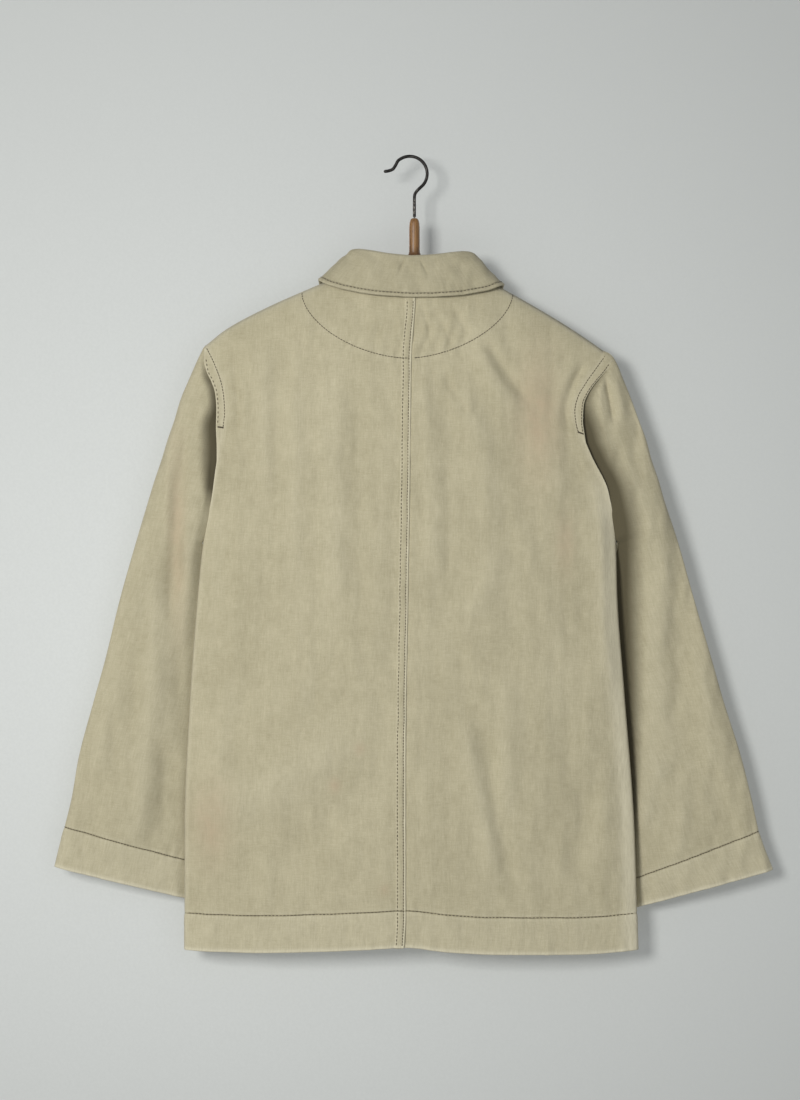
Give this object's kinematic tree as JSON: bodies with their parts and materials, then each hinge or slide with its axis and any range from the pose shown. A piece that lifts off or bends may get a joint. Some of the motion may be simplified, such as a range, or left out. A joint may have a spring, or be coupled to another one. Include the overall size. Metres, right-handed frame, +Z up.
{
  "type": "denim chore jacket on a wooden hanger",
  "caption": "Hip-length stone cotton denim chore jacket with felled centre-back seam, flat collar and buttoned front, hung on a wooden hanger with a wire hook.",
  "frame": {"origin": "where the hanger's wire hook bears on its nail, at the top inside of the bend", "axes": "+Z up; the jacket's back faces -Y and its buttoned front +Y; +X is the wearer's right"},
  "size_m": [0.7961, 0.0645, 0.8816],
  "materials": {
    "denim": "washed stone cotton denim, matte, with dark topstitching",
    "buttons": "satin brown",
    "hook_wire": "dark oxidised wire",
    "hanger_wood": "varnished, worn"
  },
  "bodies": {
    "root": {"back_left": "denim", "back_right": "denim", "front_left": "denim", "front_right": "denim", "sleeve_left": "denim", "sleeve_right": "denim", "collar": "denim", "button_1": "buttons", "button_2": "buttons", "button_3": "buttons", "button_4": "buttons", "button_5": "buttons", "hanger_hook": "hook_wire", "hanger_neck": "hanger_wood", "hanger_body": "hanger_wood"}
  },
  "joints": []
}
